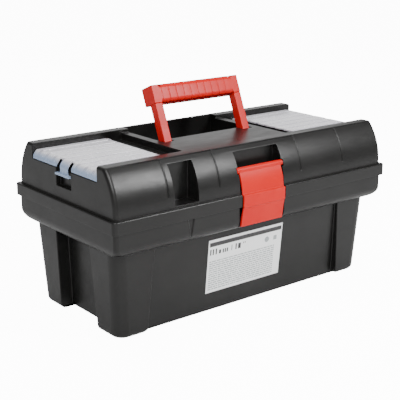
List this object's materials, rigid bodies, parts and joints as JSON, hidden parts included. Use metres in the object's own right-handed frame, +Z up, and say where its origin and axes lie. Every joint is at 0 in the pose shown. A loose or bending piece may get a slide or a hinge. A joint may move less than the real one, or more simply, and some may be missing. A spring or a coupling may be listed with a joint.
{
  "type": "carpenter toolbox",
  "caption": "Black plastic carpenter toolbox with domed lid, clear lidded organisers, front latch and fold-down carrying handle.",
  "frame": {"origin": "centre of the box's plan on the ground, under the feet", "axes": "+X along the length to the right seen from the front, +Y from the latch side to the hinge side, +Z up"},
  "size_m": [0.41, 0.2112, 0.2537],
  "materials": {
    "black_plastic": "satin moulded black plastic",
    "black_plastic_fine": "satin black plastic, finer grain",
    "red_plastic": "semi-gloss red plastic",
    "clear_plastic": "clear polished plastic",
    "grey_plastic": "dark grey plastic",
    "steel": "plain steel wire",
    "label_paper": "white printed film"
  },
  "bodies": {
    "box": {"box_body": "black_plastic", "label": "label_paper", "hinge_pin_left": "steel", "hinge_pin_right": "steel"},
    "lid": {"lid_shell": "black_plastic", "organiser_divider_left_inner": "grey_plastic", "organiser_divider_left_outer": "grey_plastic", "organiser_divider_right_inner": "grey_plastic", "organiser_divider_right_outer": "grey_plastic", "handle_pin_left": "black_plastic_fine", "handle_pin_right": "black_plastic_fine"},
    "latch_body": {"latch": "red_plastic"},
    "handle": {"handle_bail": "red_plastic", "handle_grip": "red_plastic"},
    "cover_left": {"organiser_cover_left": "clear_plastic"},
    "cover_right": {"organiser_cover_right": "clear_plastic"},
    "tray": {"inner_tray": "black_plastic_fine", "tray_divider_left": "grey_plastic", "tray_divider_right": "grey_plastic"}
  },
  "joints": [
    {"name": "lid_hinge", "type": "hinge", "parent": "box", "child": "lid", "pos_m": [0, 0.103, 0.12875], "axis": [-1, 0, 0], "range_deg": [0, 105]},
    {"name": "latch_pivot", "type": "hinge", "parent": "lid", "child": "latch_body", "pos_m": [0, -0.0935, 0.169], "axis": [-1, 0, 0], "range_deg": [0, 95]},
    {"name": "handle_pivot", "type": "hinge", "parent": "lid", "child": "handle", "pos_m": [0, 0.0023, 0.1875], "axis": [-1, 0, 0], "range_deg": [-22, 67]},
    {"name": "cover_left_hinge", "type": "hinge", "parent": "lid", "child": "cover_left", "pos_m": [-0.0987, 0, 0.1856], "axis": [0, 1, 0], "range_deg": [0, 95]},
    {"name": "cover_right_hinge", "type": "hinge", "parent": "lid", "child": "cover_right", "pos_m": [0.0987, 0, 0.1856], "axis": [0, -1, 0], "range_deg": [0, 95]},
    {"name": "tray_lift", "type": "slide", "parent": "box", "child": "tray", "axis": [0, 0, 1], "range_m": [0, 0.012]}
  ]
}
